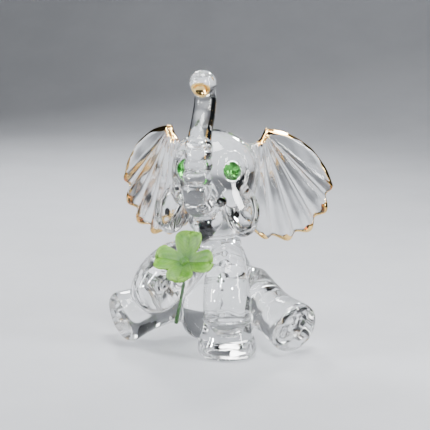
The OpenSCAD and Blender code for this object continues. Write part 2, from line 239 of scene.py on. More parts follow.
jaw_low, jaw_high = node_box("lower_jaw")
jaw_front = jaw_low[1]
lip = [(0, jaw_front + 2.6, jaw_low[2] + 1.3, 1.2), (0, jaw_front + 2.9, jaw_low[2] + 3.0, 2.3),
       (0, jaw_front + 4.0, jaw_low[2] + 4.6, 3.1), (0, jaw_front + 7.0, jaw_low[2] + 6.0, 3.4)]
add_gather("lower_jaw", rod(spline(lip, 8)), 1.0)
for side, _ in SIDES:
    lip_corner = [(side * 2.6, jaw_front + 3.9, jaw_high[2] - 2.2, 1.5),
                  (side * 3.2, jaw_front + 5.0, jaw_high[2] - 0.7, 1.2)]
    add_gather("lower_jaw", rod(lip_corner), 1.4)
scoop = vec(0, jaw_front + 2.6, jaw_high[2] + 1.3)
add_gather("lower_jaw", ball(scoop, [2.9, 3.2, 2.6]), 0.6, cut=True)

for side, word in SIDES:
    tusk = middle("tusk_left") * [side, 1, 1]
    tusk_line = spline([tusk + vec(side * 0.7, 4.5, 0.9), tusk, tusk + vec(-side * 0.5, -2.5, -0.5)], 6)
    taper = np.linspace(1.5, 1.1, 7)
    add_gather("tusk_" + word, rod(np.column_stack([tusk_line, taper])), 0.6)
print("with cheeks, jaw and tusks:", len(glass), "gathers")

# %% [markdown]
# The trunk is drawn upwards in an S and bitten seven times with a tool. Its
# tip is a small ball with the nostril pushed into it.

# %% Trunk
RIDGES = 7
BAND_START, BAND_END = 0.13, 0.60
trunk_front = trunk_low[1] + 3.4
trunk_line = [
    (0, head_mid[1] - 5, head_mid[2] - 1.5), (0, head_mid[1] - 10.5, head_mid[2] - 3.6),
    (0, trunk_front + 1.6, head_mid[2] - 4.5), (0, trunk_front + 0.1, head_mid[2] + 0.3),
    (0, head_mid[1] - 16.3, head_mid[2] + 5.2), (0, head_mid[1] - 16, head_mid[2] + 9),
    (0, head_mid[1] - 13.7, head_mid[2] + 12.3), (0, head_mid[1] - 10.7, head_mid[2] + 15.9),
    (0, head_mid[1] - 9.1, head_mid[2] + 19.6), (0, tip_mid[1] + 2.0, tip_mid[2] - 0.9),
]
steps = 150
line = spline(trunk_line, steps)
along = np.arange(steps + 1) / steps
banded = (along > BAND_START) & (along < BAND_END)
band = (along - BAND_START) / (BAND_END - BAND_START)
rings = 2 * np.abs(np.sin(math.pi * RIDGES * band)) - 1
wave = np.where(banded, rings, -0.4)
girth = np.interp(along, [0, 0.2, 0.4, 0.7, 1], [3.5, 3.35, 3.2, 2.85, 2.7])
trunk_rod = np.column_stack([line, girth + 0.26 * wave])
add_gather("trunk", rod(trunk_rod, ridged=True), 0.9)

nostril_dir = unit(middle("trunk_tip_gold") - tip_mid)
tip_ball_mid = tip_mid - vec(0, 0, 0.5)
nostril_mid = tip_ball_mid + nostril_dir * tip_r * 0.86
add_gather("trunk_tip", ball(tip_ball_mid, [tip_r * 0.95] * 3), 1.5)
add_gather("trunk_tip", ball(nostril_mid, [1.75, 1.75, 1.75]), 0.7, cut=True)
print("trunk:", steps, "stations,", RIDGES, "ridges")

# %% [markdown]
# ## The ears
# Each ear is a thin fan pressed in a fluted mould and swept back from the head.
# Its flutes spread from the top corner, so their height is a wave of the angle
# round that corner. The outline has a small hook at the corner, a long arched
# top, five scallops and a root that runs into the head. The fan is a slab whose
# middle surface follows the flutes, softly rounded where it meets the outline.

# %% Ears
EAR_SWEEP = math.radians(36)
ARC_END, FAN_END = math.radians(37.8), math.radians(100)
EAR_LEN, FAN_R, FAN_INNER_R = 26.0, 30.5, 25.2
FLUTES = 5
FLUTE_DEPTH = 1.5
SCALLOP = 1.2
EAR_T = 1.8


def polar(angle, reach):
    return vec(math.cos(angle), math.sin(angle)) * reach


def ear_outline():
    """Outline of the fan in its own plane: outward and down from the corner."""
    hook = [polar(math.radians(152 - 112 * t), 5.6 - 4.4 * t) for t in np.linspace(0, 1, 7)[:-1]]
    top = []
    for t in np.linspace(0.06, 1, 14)[:-1]:
        rise = vec(math.sin(ARC_END), -math.cos(ARC_END)) * 16 * t * (1 - t)
        top.append(polar(ARC_END, EAR_LEN * t) + rise)
    fan = []
    for t in np.linspace(0, 1, 56):
        if t < 0.45:
            reach = EAR_LEN + (FAN_R - EAR_LEN) * math.sin(math.radians(200 * t))
        else:
            reach = FAN_INNER_R + (FAN_R - FAN_INNER_R) * math.cos(math.pi * (t - 0.45) / 1.1)
        dip = SCALLOP / 2 * (1 - math.cos(2 * math.pi * FLUTES * t))
        fan.append(polar(ARC_END + (FAN_END - ARC_END) * t, reach - dip))
    root = [polar(math.radians(103 + 25 * t), 24.2 - 14.1 * t) for t in np.linspace(0, 1, 9)]
    return np.array(hook + top + fan + root)


ear_line = ear_outline()
ear_corner = head_mid + vec(10.7, 3.0, 10.9)


def ear_coords(p, side):
    """Outward, thickness and downward coordinates of a point in an ear's plane."""
    q = p * [side, 1, 1] - ear_corner
    c, s = math.cos(EAR_SWEEP), math.sin(EAR_SWEEP)
    return q[:, 0] * c + q[:, 1] * s, q[:, 1] * c - q[:, 0] * s, -q[:, 2]


def outline_distance(u, w):
    """Signed distance to the ear's outline in its plane, negative inside."""
    best = np.full(len(u), 1e6)
    inside = np.zeros(len(u), bool)
    for (ax, ay), (bx, by) in zip(ear_line, np.roll(ear_line, -1, axis=0)):
        ex, ey = bx - ax, by - ay
        px, py = u - ax, w - ay
        t = np.clip((px * ex + py * ey) / (ex * ex + ey * ey), 0, 1)
        best = np.minimum(best, (px - t * ex) ** 2 + (py - t * ey) ** 2)
        if ey != 0:
            inside ^= ((ay > w) != (by > w)) & (u < ex * (w - ay) / ey + ax)
    return np.where(inside, -1, 1) * np.sqrt(best)


def flute_height(u, w):
    angle = np.arctan2(w, u)
    part = (angle - ARC_END) / (FAN_END - ARC_END)
    grow = np.clip(np.hypot(u, w) / FAN_R, 0, 1) ** 0.8
    fade = np.clip(part / 0.08, 0, 1) * np.clip((1.08 - part) / 0.16, 0, 1)
    crest = np.cos(2 * math.pi * FLUTES * part + math.pi)
    return FLUTE_DEPTH / 2 * grow * fade * (crest + 0.18 * np.cos(4 * math.pi * FLUTES * part))


def ear(side, word):
    def distance(p):
        u, y, w = ear_coords(p, side)
        half = EAR_T / 2 * (1.3 - 0.5 * np.clip(np.hypot(u, w) / FAN_R, 0, 1))
        slab = (np.abs(y - flute_height(u, w)) - half) * 0.9
        return soft_max(slab, outline_distance(u, w), 1.1)

    low, high = node_box("ear_" + word)
    return distance, low - 2, high + 2


for side, word in SIDES:
    add_gather("ear_" + word, ear(side, word), 1.1)
print("ear outline:", len(ear_line), "points,", FLUTES, "flutes")

# %% [markdown]
# The standing leg is a column with a flared foot. The hind legs are turned
# shapes laid down and splayed, and the raised leg is a fat bent rod whose sole
# rests on the hind leg beside it. The tail is a short drawn drop.

# %% Legs and tail
leg = [foot_mid + [0, 0, 7], foot_mid + [0, 0, ankle_z], foot_mid + [-0.2, 0.9, 13],
       foot_mid + [-0.7, 2.6, 17.3], foot_mid + [-1.5, 6.0, 20.4], foot_mid + [-2.8, 11.0, 21.2]]
leg_r = [5.5, 5.6, 5.9, 5.5, 4.9, 4.6]
add_gather("front_left", rod(spline(np.column_stack([leg, leg_r]), 10)), 0.8)
flare_z = [0, 1.9, 3.6, 6.0, ankle_z - 0.7, ankle_z - 0.1, ankle_z + 0.6]
flare_r = [foot_r - 0.1, foot_r, foot_r - 0.3, foot_r - 1.1, foot_r - 1.6, foot_r - 0.8, 4.9]
smooth_z = np.linspace(0, flare_z[-1], 40)
flare = spline(np.column_stack([flare_z, flare_r]), 60)
smooth_r = np.interp(smooth_z, flare[:, 0], flare[:, 1])
add_gather("front_left", lathe(foot_mid, (0, 0, 1), smooth_z, smooth_r, 2.0), 0.5)

HIND_TURN = math.radians(48)
HIND_DROP = math.radians(13.7)
HIND_LEN = 21.5


def hind_axis(side):
    """The hip of a hind leg and the direction from it to the sole."""
    hip = vec(side * 6.9, torso_mid[1] + 0.9, 11.3)
    run = vec(side * math.sin(HIND_TURN) * math.cos(HIND_DROP),
              -math.cos(HIND_TURN) * math.cos(HIND_DROP), -math.sin(HIND_DROP))
    return hip, run


for side, word in SIDES:
    hip, run = hind_axis(side)
    heights = np.linspace(-1, HIND_LEN * 0.95 + 1.2, 40)
    radii = np.interp(heights / HIND_LEN, [0, 0.25, 0.5, 0.66, 0.8, 0.9, 1.0],
                      [7.2, 6.4, 5.8, 5.75, 6.2, 6.5, 6.6])
    add_gather("hind_" + word, lathe(hip, run, heights, radii, 2.2), 1.3)

raised_sole = vec(node_box("front_foot_right")[0][0] + 5.9, -6.6, 12.3)
arm = [raised_sole + [0, 0, 2.2], raised_sole + [1.6, 2, 4.5], raised_sole + [4.4, 5.3, 7],
       raised_sole + [8.6, 9.4, 8.2]]
add_gather("front_right", rod(spline(np.column_stack([arm, [6.2, 6.7, 6.3, 5.0]]), 8)), 1.0)
tail_low, tail_high = node_box("tail")
tail = [(0, tail_low[1] - 1, tail_high[2] - 1.6, 1.6),
        (0, tail_low[1] + 1.3, tail_high[2] - 2.4, 1.4),
        (0.4, tail_low[1] + 2.3, tail_low[2] + 3.8, 1.15),
        (1.3, tail_high[1] - 1.2, tail_low[2] + 1.2, 1.1)]
add_gather("tail", rod(spline(tail, 8)), 0.9)
print(len(glass), "gathers")

# %% [markdown]
# ## From fields to a skin
# The fields are sampled on a grid and a net of quads is laid where the sign
# changes, one point per cell. Marching cubes would do, but a surface net gives
# even quads with no slivers, which matters in clear glass, where every bad
# facet shows as a kink in the refraction. Each point is then slid onto the
# exact zero of the field, so that the skin is smooth below the grid's size.

# %% Blend the fields
STEP = 0.32
FAR = 50.0
DISH_R, DISH_HALF = 22, 1.3
SEAT_DEPTH = 1.5
POCKET_R, POCKET_DEPTH = 2.62, 2.2
POCKET_SLOPE, SLOPE_TO_DISTANCE = 1.05, 0.69


def eye_frame(side):
    """Origin and axes of an eye: x to its side, y up, z out of the head."""
    out = unit(middle("eye_left_foil") - middle("head"))
    out = unit(out * [side, 1, 1])
    across = unit(np.cross([0, 0, 1], out))
    return out, across, np.cross(out, across)


def carve_eyes(p, d):
    """Two shallow oval dishes, each with a pocket for the stone."""
    for side, _ in SIDES:
        out, across, up = eye_frame(side)
        q = p - head_mid
        h, x, y = q @ out, q @ across, q @ up
        floor = head_r - SEAT_DEPTH
        y_near = np.clip(y, -DISH_HALF, DISH_HALF)
        dish = DISH_R - np.sqrt(x * x + (y - y_near) ** 2 + (h - floor - DISH_R) ** 2)
        d = soft_max(d, dish, 0.15)
        rho = np.hypot(x, y)
        pocket = np.maximum(rho - POCKET_R, floor - POCKET_DEPTH - h)
        slope = (rho - POCKET_R - (h - floor) * POCKET_SLOPE) * SLOPE_TO_DISTANCE
        d = np.maximum(d, -np.maximum(pocket, slope))
    return d


def field(p):
    """Distance from each point to the skin of the whole fused figurine."""
    d = np.full(len(p), FAR)
    for _, (shape, low, high), fillet, cut in glass:
        near = ((p > low) & (p < high)).all(1)
        if not near.any():
            continue
        part = shape(p[near])
        d[near] = soft_max(d[near], -part, fillet) if cut else soft_min(d[near], part, fillet)
    near = (np.abs(p - head_mid) < head_r + 2).all(1)
    if near.any():
        d[near] = carve_eyes(p[near], d[near])
    x, y, z = p.T
    ripple = np.sin(0.83 * x + 0.6 * y) * np.sin(0.71 * z + 0.4 * x) + np.sin(0.9 * y - 0.66 * z + 1.3)
    d = d + 0.035 * ripple
    return soft_max(d, -z, 0.4)


# %% [markdown]
# Every cell of the grid that the skin passes through gets one point, at the
# mean of the crossings on its edges, and every grid edge that the skin crosses
# gets one quad between the four cells around it.


# %% Lay the net
def surface_net(values, low, step):
    inside = values < 0
    count = sum(inside[i:i - 1 or None, j:j - 1 or None, k:k - 1 or None].astype(np.int8)
                for i in (0, 1) for j in (0, 1) for k in (0, 1))
    active = (count > 0) & (count < 8)
    index = np.full(active.shape, -1, np.int64)
    cells = np.argwhere(active)
    index[active] = np.arange(len(cells))
    total, hits = np.zeros((len(cells), 3)), np.zeros(len(cells))
    corners = [np.array(c) for c in np.ndindex(2, 2, 2)]
    for a in corners:
        for axis in range(3):
            if a[axis]:
                continue
            b = a + np.eye(3, dtype=int)[axis]
            va, vb = values[tuple((cells + a).T)], values[tuple((cells + b).T)]
            cross = (va < 0) != (vb < 0)
            t = np.where(cross, va / np.where(cross, va - vb, 1), 0)
            total[cross] += (cells + a + t[:, None] * (b - a))[cross]
            hits[cross] += 1
    points = low + total / hits[:, None] * step
    quads = []
    for axis in range(3):
        u, v = (axis + 1) % 3, (axis + 2) % 3
        first = np.take(inside, range(inside.shape[axis] - 1), axis)
        second = np.take(inside, range(1, inside.shape[axis]), axis)
        for flag, order in ((first & ~second, 1), (~first & second, -1)):
            at = np.argwhere(flag)
            at = at[(at[:, u] > 0) & (at[:, v] > 0)]
            ring = []
            for du, dv in ((0, 0), (-1, 0), (-1, -1), (0, -1)):
                c = at.copy()
                c[:, u] += du
                c[:, v] += dv
                ring.append(index[tuple(c.T)])
            quads.append(np.column_stack(ring[::order]))
    return points, np.concatenate(quads)


def sample_grid(low, high, step):
    axes = [np.arange(a, b + step, step) for a, b in zip(low, high)]
    shape = [len(a) for a in axes]
    flat = np.empty(shape, np.float32)
    for i, x in enumerate(axes[0]):
        yy, zz = np.meshgrid(axes[1], axes[2], indexing="ij")
        slab = np.column_stack([np.full(yy.size, x), yy.ravel(), zz.ravel()])
        flat[i] = field(slab).reshape(yy.shape)
    return flat


def slide_to_skin(points, rounds):
    nudge = 0.02
    for _ in range(rounds):
        d = field(points)
        slope = np.column_stack([field(points + np.eye(3)[i] * nudge) - d for i in range(3)]) / nudge
        size = np.maximum((slope * slope).sum(1), 0.2)
        move = -(d / size)[:, None] * slope
        points = points + np.clip(move, -0.3 * STEP, 0.3 * STEP)
    return points


glass_low = vec(-29.5, trunk_low[1] - 1.5, -1.0)
glass_high = vec(29.5, tail_high[1] + 1.5, tip_mid[2] + tip_r + 1.5)
grid = sample_grid(glass_low, glass_high, STEP)
points, quads = surface_net(grid, glass_low, STEP)
points = slide_to_skin(points, 2)
print("glass skin:", len(points), "points,", len(quads), "quads")

# %% [markdown]
# ## Cutting the skin into pieces
# The figurine is one run of glass, but it was made from separate gathers, and
# each stays a piece of its own here. The skin is cut along the valley where
# two gathers are equally near. Both sides get the same cap, and the caps carry
# a clear seam material, since light passes a fused joint without bending.


# %% Cut a closed mesh along the zero line of a function
def islands(count, edges):
    """Label of the connected group of each point."""
    label = np.arange(count)
    while True:
        low = np.minimum(label[edges[:, 0]], label[edges[:, 1]])
        before = label.copy()
        np.minimum.at(label, edges[:, 0], low)
        np.minimum.at(label, edges[:, 1], low)
        label = label[label]
        if (label == before).all():
            return label


def tri_edges(tris):
    return np.concatenate([tris[:, [0, 1]], tris[:, [1, 2]], tris[:, [2, 0]]])


def drop_specks(side, tris, least):
    """Give islands of fewer points than least to the other side."""
    edges = tri_edges(tris)
    same = side[edges[:, 0]] == side[edges[:, 1]]
    label = islands(len(side), edges[same])
    size = np.bincount(label, minlength=len(side))
    used = np.zeros(len(side), bool)
    used[tris.ravel()] = True
    return np.where(used & (size[label] < least), ~side, side)


def compact(pts, tris, seam):
    used, inverse = np.unique(tris.ravel(), return_inverse=True)
    return pts[used], inverse.reshape(-1, 3), seam


LEAST_SKIN_MM2 = 20
LEAST = round(LEAST_SKIN_MM2 / STEP ** 2)


def split_mesh(mesh, f, least=LEAST):
    """The parts of a closed mesh where f is negative and where it is positive."""
    pts, tris, seam = mesh
    positive = drop_specks(f > 0, tris, least)
    f = np.where(positive, np.maximum(f, 1e-4), np.minimum(f, -1e-4))
    flags = positive[tris]
    mixed = flags.any(1) & ~flags.all(1)
    cut, cut_seam = tris[mixed], seam[mixed]
    lone_is_pos = flags[mixed].sum(1) == 1
    lone = np.argmax(flags[mixed] == lone_is_pos[:, None], axis=1)
    rows = np.arange(len(cut))
    a, b, c = (cut[rows, (lone + k) % 3] for k in range(3))

    pairs = np.sort(np.concatenate([np.column_stack([a, b]), np.column_stack([a, c])]), axis=1)
    unique, inverse = np.unique(pairs, axis=0, return_inverse=True)
    inverse = inverse.ravel()
    t = f[unique[:, 0]] / (f[unique[:, 0]] - f[unique[:, 1]])
    made = pts[unique[:, 0]] + t[:, None] * (pts[unique[:, 1]] - pts[unique[:, 0]])
    p, q = inverse[:len(cut)] + len(pts), inverse[len(cut):] + len(pts)
    pts = np.concatenate([pts, made])
    tip = np.column_stack([a, p, q])
    wide = np.concatenate([np.column_stack([p, b, c]), np.column_stack([p, c, q])])
    wide_pos = np.concatenate([~lone_is_pos, ~lone_is_pos])
    wide_seam = np.concatenate([cut_seam, cut_seam])

    rim = np.where(lone_is_pos[:, None], np.column_stack([q, p]), np.column_stack([p, q]))
    label = islands(len(pts), rim)
    caps = []
    for loop in np.unique(label[rim[:, 0]]):
        ring = rim[label[rim[:, 0]] == loop]
        centre = len(pts)
        pts = np.concatenate([pts, pts[np.unique(ring)].mean(0)[None]])
        caps.append(np.column_stack([np.full(len(ring), centre), ring[:, 1], ring[:, 0]]))
    cap = np.concatenate(caps)
    parts = []
    for want in (False, True):
        whole = (flags.all(1) if want else ~flags.any(1))
        closing = cap[:, ::-1] if want else cap
        faces = [tris[whole], tip[lone_is_pos == want], wide[wide_pos == want], closing]
        marks = [seam[whole], cut_seam[lone_is_pos == want], wide_seam[wide_pos == want],
                 np.ones(len(cap), bool)]
        parts.append(compact(pts, np.concatenate(faces), np.concatenate(marks)))
    return parts[0], parts[1], len(caps)


def nearest(names, p):
    """Distance to the nearest gather of the named pieces."""
    d = np.full(len(p), FAR)
    for piece, (shape, low, high), _, cut in glass:
        near = ((p > low) & (p < high)).all(1)
        if piece in names and not cut and near.any():
            d[near] = np.minimum(d[near], shape(p[near]))
    return d


# %% Cut the gathers apart
tris = np.concatenate([quads[:, [0, 1, 2]], quads[:, [0, 2, 3]]])
rest = (points, tris, np.zeros(len(tris), bool))
groups = {piece for piece, _, _, cut in glass}
solids = {}
order = ["tusk_left", "tusk_right", "trunk_tip", "trunk", "ear_left", "ear_right", "cheek_left",
         "cheek_right", "lower_jaw", "neck", "tail", "front_left", "front_right", "hind_left",
         "hind_right"]
for name in order:
    groups.discard(name)
    valley = nearest({name}, rest[0]) - nearest(groups, rest[0])
    if name == "neck":
        valley = np.maximum(valley, body_top + 0.6 - rest[0][:, 2])
    solids[name], rest, loops = split_mesh(rest, valley)

pts, tris, flags = rest
above = pts[tris].mean(1)[:, 2] > body_top + 4
solids["head"] = compact(pts, tris[above], flags[above])
solids["body"] = compact(pts, tris[~above], flags[~above])

# %% [markdown]
# Each foot was pressed onto its leg as a separate bit of glass, so every limb
# is cut once more, at its ankle.


# %% Cut the feet from the legs
def split_limb(limb, foot, leg_name, at, normal):
    pts = solids[limb][0]
    solids[foot], solids[leg_name], loops = split_mesh(solids.pop(limb), (pts - at) @ unit(normal))
    print(foot, len(solids[foot][1]), "faces,", loops, "joint")


split_limb("front_left", "front_foot_left", "front_leg_left", foot_mid + [0, 0, ankle_z], (0, 0, 1))
split_limb("front_right", "front_foot_right", "front_leg_right", raised_sole + [1.9, 2.2, 4.6],
           (0.45, 0.53, 0.72))
for side, word in SIDES:
    hip, run = hind_axis(side)
    split_limb("hind_" + word, "hind_foot_" + word, "hind_leg_" + word,
               hip + run * HIND_LEN * 0.66, -run)

# %% [markdown]
# ## Materials
# Nothing on the figurine is one flat colour. Three effects are shared by every
# finish and live in node groups: handling marks, a hot ripple and a soft
# mottle. They give out only values and normals; each material keeps its own
# shader. All of them read object coordinates, which here are real metres.


# %% A small language for node maths
class Num:
    """A number socket that builds Math nodes when it is used in a formula."""

    def __init__(self, tree, socket):
        self.tree, self.socket = tree, socket

    def op(self, kind, *others):
        node = self.tree.nodes.new("ShaderNodeMath")
        node.operation = kind
        for slot, value in zip(node.inputs, (self,) + others):
            if isinstance(value, Num):
                self.tree.links.new(value.socket, slot)
            else:
                slot.default_value = value
        return Num(self.tree, node.outputs[0])

    def __add__(self, other):
        return self.op("ADD", other)

    def __sub__(self, other):
        return self.op("SUBTRACT", other)

    def __mul__(self, other):
        return self.op("MULTIPLY", other)

    def __truediv__(self, other):
        return self.op("DIVIDE", other)

    def __pow__(self, other):
        return self.op("POWER", other)

    def __rsub__(self, other):
        return (self * -1).op("ADD", other)

    __radd__, __rmul__ = __add__, __mul__

    def sin(self):
        return self.op("SINE")

    def abs(self):
        return self.op("ABSOLUTE")

    def low(self, other):
        return self.op("MINIMUM", other)

    def high(self, other):
        return self.op("MAXIMUM", other)


def new_group(name, kind, ins, outs):
    """A node group with named inputs (name, type, default) and outputs (name, type)."""
    tree = bpy.data.node_groups.new(name, kind)
    for label, socket, value in ins:
        made = tree.interface.new_socket(label, in_out="INPUT", socket_type=socket)
        if value is not None:
            made.default_value = value
    for label, socket in outs:
        tree.interface.new_socket(label, in_out="OUTPUT", socket_type=socket)
    return tree, tree.nodes.new("NodeGroupInput"), tree.nodes.new("NodeGroupOutput")


def wire(tree, a, b):
    tree.links.new(a.socket if isinstance(a, Num) else a, b)


def add_noise(tree, where, scale, detail=2.0, rough=0.5):
    node = tree.nodes.new("ShaderNodeTexNoise")
    wire(tree, where, node.inputs["Vector"])
    node.inputs["Detail"].default_value = detail
    node.inputs["Roughness"].default_value = rough
    if isinstance(scale, (int, float)):
        node.inputs["Scale"].default_value = scale
    else:
        wire(tree, scale, node.inputs["Scale"])
    return Num(tree, node.outputs["Fac"])


def add_ramp(tree, fac, low, high):
    """Smooth step of a value between two limits."""
    node = tree.nodes.new("ShaderNodeMapRange")
    node.interpolation_type = "SMOOTHSTEP"
    wire(tree, fac, node.inputs["Value"])
    node.inputs["From Min"].default_value = low
    node.inputs["From Max"].default_value = high
    return Num(tree, node.outputs["Result"])


# %% Shared effects
F, V, C = "NodeSocketFloat", "NodeSocketVector", "NodeSocketColor"
wear_group, gin, gout = new_group(
    "handling_marks", "ShaderNodeTree",
    [("Vector", V, None), ("Base", F, 0.02), ("Amount", F, 0.05)],
    [("Roughness", F), ("Marks", F)])
broad = add_noise(wear_group, gin.outputs["Vector"], 90, 4, 0.6)
fine = add_noise(wear_group, gin.outputs["Vector"], 900, 3, 0.7)
marks = add_ramp(wear_group, broad, 0.5, 0.72) * add_ramp(wear_group, fine, 0.35, 0.7)
wire(wear_group, marks * Num(wear_group, gin.outputs["Amount"])
     + Num(wear_group, gin.outputs["Base"]), gout.inputs["Roughness"])
wire(wear_group, marks, gout.inputs["Marks"])

ripple_group, gin, gout = new_group(
    "hot_ripple", "ShaderNodeTree",
    [("Vector", V, None), ("Scale", F, 160.0), ("Depth", F, 0.00002)], [("Normal", V)])
swell = add_noise(ripple_group, gin.outputs["Vector"], gin.outputs["Scale"], 2, 0.4)
bump = ripple_group.nodes.new("ShaderNodeBump")
bump.inputs["Strength"].default_value = 1.0
wire(ripple_group, gin.outputs["Depth"], bump.inputs["Distance"])
wire(ripple_group, swell, bump.inputs["Height"])
wire(ripple_group, bump.outputs["Normal"], gout.inputs["Normal"])

mottle_group, gin, gout = new_group(
    "colour_mottle", "ShaderNodeTree",
    [("Vector", V, None), ("Scale", F, 300.0), ("Dark", C, (0, 0, 0, 1)), ("Light", C, (1, 1, 1, 1))],
    [("Color", C), ("Mask", F)])
patch = add_noise(mottle_group, gin.outputs["Vector"], gin.outputs["Scale"], 5, 0.6)
mask = add_ramp(mottle_group, patch, 0.32, 0.68)
mix = mottle_group.nodes.new("ShaderNodeMix")
mix.data_type = "RGBA"
wire(mottle_group, mask, mix.inputs[0])
wire(mottle_group, gin.outputs["Dark"], mix.inputs[6])
wire(mottle_group, gin.outputs["Light"], mix.inputs[7])
wire(mottle_group, mix.outputs[2], gout.inputs["Color"])
wire(mottle_group, mask, gout.inputs["Mask"])


# %% One recipe for the finishes
def use_group(tree, group, coords, **values):
    node = tree.nodes.new("ShaderNodeGroup")
    node.node_tree = group
    tree.links.new(coords, node.inputs["Vector"])
    for key, value in values.items():
        node.inputs[key].default_value = value
    return node


def finish(name, dark, light, rough, mark, ripple, depth, mottle=300.0, **plain):
    """A Principled material whose colour, roughness and normal come from the groups."""
    mat = bpy.data.materials.new(name)
    mat.use_nodes = True
    tree = mat.node_tree
    shader = tree.nodes["Principled BSDF"]
    coords = tree.nodes.new("ShaderNodeTexCoord").outputs["Object"]
    wear = use_group(tree, wear_group, coords, Base=rough, Amount=mark)
    waves = use_group(tree, ripple_group, coords, Scale=ripple, Depth=depth)
    tint = use_group(tree, mottle_group, coords, Scale=mottle, Dark=(*dark, 1), Light=(*light, 1))
    wire(tree, wear.outputs["Roughness"], shader.inputs["Roughness"])
    wire(tree, waves.outputs["Normal"], shader.inputs["Normal"])
    wire(tree, tint.outputs["Color"], shader.inputs["Base Color"])
    for key, value in plain.items():
        shader.inputs[key.replace("_", " ")].default_value = value
    return mat, tree, shader, tint


crystal, *_ = finish("clear_crystal", (0.975, 0.985, 0.985), (0.995, 1.0, 1.0), 0.0, 0.035,
                     210, 0.000006, Transmission_Weight=1.0, IOR=1.53)
gold, *_ = finish("gold_lustre", (0.66, 0.38, 0.10), (0.97, 0.68, 0.27), 0.10, 0.22,
                  700, 0.00003, 500.0, Metallic=1.0)
stone, *_ = finish("green_stone", (0.10, 0.68, 0.09), (0.28, 0.88, 0.22), 0.0, 0.03,
                   400, 0.000002, 260.0, Transmission_Weight=1.0, IOR=1.6)
foil, *_ = finish("silver_foil", (0.70, 0.72, 0.70), (0.95, 0.96, 0.95), 0.16, 0.2,
                  1500, 0.00004, 900.0, Metallic=1.0)
stem_mat, *_ = finish("stem_enamel", (0.02, 0.075, 0.012), (0.05, 0.16, 0.03), 0.3, 0.25,
                      1300, 0.00006, 700.0, Coat_Weight=0.4)
seam, *_ = finish("fused_seam", (0.99, 1.0, 1.0), (1, 1, 1), 0.0, 0.0, 100, 0.0, Alpha=0.0)
print(len(bpy.data.materials), "materials")

# %% [markdown]
# The clover is a pressed leaf of green enamel. Its colour follows the leaf:
# yellow-green in the blade, pale at the edge, with fine darker veins that branch
# from the midrib. Towards each leaf's root, where the leaves meet, a deeper green
# is painted in as shade. The leaf's own coordinates are stored on its mesh, so
# the veins and the painted shade bend with it.

# %% Clover enamel
leaf_mat, tree, shader, tint = finish(
    "clover_enamel", (0.09, 0.32, 0.004), (0.15, 0.41, 0.008), 0.55, 0.2, 900, 0.00003, 420.0,
    Specular_IOR_Level=0.3)
own = tree.nodes.new("ShaderNodeAttribute")
own.attribute_name = "leaf_st"
parts = tree.nodes.new("ShaderNodeSeparateXYZ")
wire(tree, own.outputs["Vector"], parts.inputs[0])
across_leaf, along_leaf = (Num(tree, parts.outputs[k]) for k in ("X", "Y"))
rib = 1 - add_ramp(tree, across_leaf.abs(), 0.0, 0.10)
branch = ((along_leaf - across_leaf.abs() * 0.35) * 46).sin()
veins = rib.high(add_ramp(tree, branch, 0.72, 1.0) * 0.55)
edge = add_ramp(tree, across_leaf.abs().high(along_leaf), 0.8, 1.0)
# painted shade: the green darkens towards each leaf's root, where the leaves meet round the button
root_painted_shade = 1 - add_ramp(tree, along_leaf, 0.05, 0.42)


def mix_colour(tree, fac, under, over):
    node = tree.nodes.new("ShaderNodeMix")
    node.data_type = "RGBA"
    wire(tree, fac, node.inputs[0])
    tree.links.new(under, node.inputs[6])
    node.inputs[7].default_value = (*over, 1)
    return node.outputs[2]


colour = mix_colour(tree, edge * 0.6, tint.outputs["Color"], (0.28, 0.58, 0.04))
# mix in the painted shade: a deeper green at the leaves' roots and over the button
colour = mix_colour(tree, root_painted_shade * 0.8, colour, (0.06, 0.24, 0.02))
colour = mix_colour(tree, veins * 0.75, colour, (0.04, 0.15, 0.012))
wire(tree, colour, shader.inputs["Base Color"])

# %% [markdown]
# ## Making the glass pieces
# The normals come from the slope of the blended field itself and not from the
# triangles. So a highlight runs over a seam without a break, as it does on
# fused glass, and the two sides of a cut agree.


# %% Turn solids into objects
def field_normals(p):
    nudge = 0.08
    slope = np.column_stack([field(p + np.eye(3)[i] * nudge) - field(p - np.eye(3)[i] * nudge)
                             for i in range(3)])
    return slope / np.maximum(np.linalg.norm(slope, axis=1), 1e-9)[:, None]


def add_object(name, mesh, replaced):
    obj = bpy.data.objects.new(name, mesh)
    bpy.context.scene.collection.objects.link(obj)
    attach(obj, "root")
    if replaced:
        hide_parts(replaced)
    return obj


def solid_mesh(name, pts, tris, flags, normals, mats):
    mesh = bpy.data.meshes.new(name)
    mesh.from_pydata((pts * MM).tolist(), [], tris.tolist())
    for mat in mats:
        mesh.materials.append(mat)
    mesh.polygons.foreach_set("material_index", flags.astype(np.int32))
    mesh.polygons.foreach_set("use_smooth", np.ones(len(tris), bool))
    a, b, c = (pts[tris[:, k]] for k in range(3))
    flat = np.cross(b - a, c - a)
    flat /= np.maximum(np.linalg.norm(flat, axis=1), 1e-12)[:, None]
    corner = normals[tris]
    corner[flags] = flat[flags][:, None]
    mesh.normals_split_custom_set(corner.reshape(-1, 3).tolist())
    return mesh


for name, (pts, faces, flags) in solids.items():
    mesh = solid_mesh(name + "_glass", pts, faces, flags, field_normals(pts), [crystal, seam])
    add_object(name + "_glass", mesh, name)
print(len(solids), "glass pieces,", sum(len(s[1]) for s in solids.values()), "faces")

# %% [markdown]
# ## Gold lustre
# Liquid gold is brushed on by hand and fired, so the film is far thinner than
# paint and its edge wanders. It covers the rim of each ear, runs a little way
# down every flute, and lines the nostril. Each film is a copy of the skin
# under it, trimmed along a wavering line and given a hair of thickness.


# %% Lay a film of gold on a patch of skin
FILM_LEAST = 12
FILM_LIFT, FILM_SINK = 0.05, 0.03


def wander(p, size):
    """A slow wave over the skin, for a hand-painted edge."""
    x, y, z = (p / size).T
    slow = np.sin(x * 2.1 + 1.7 * np.sin(z * 1.3)) * np.cos(z * 1.9 - y)
    return slow + 0.5 * np.sin(3.1 * y + 2.3 * z)


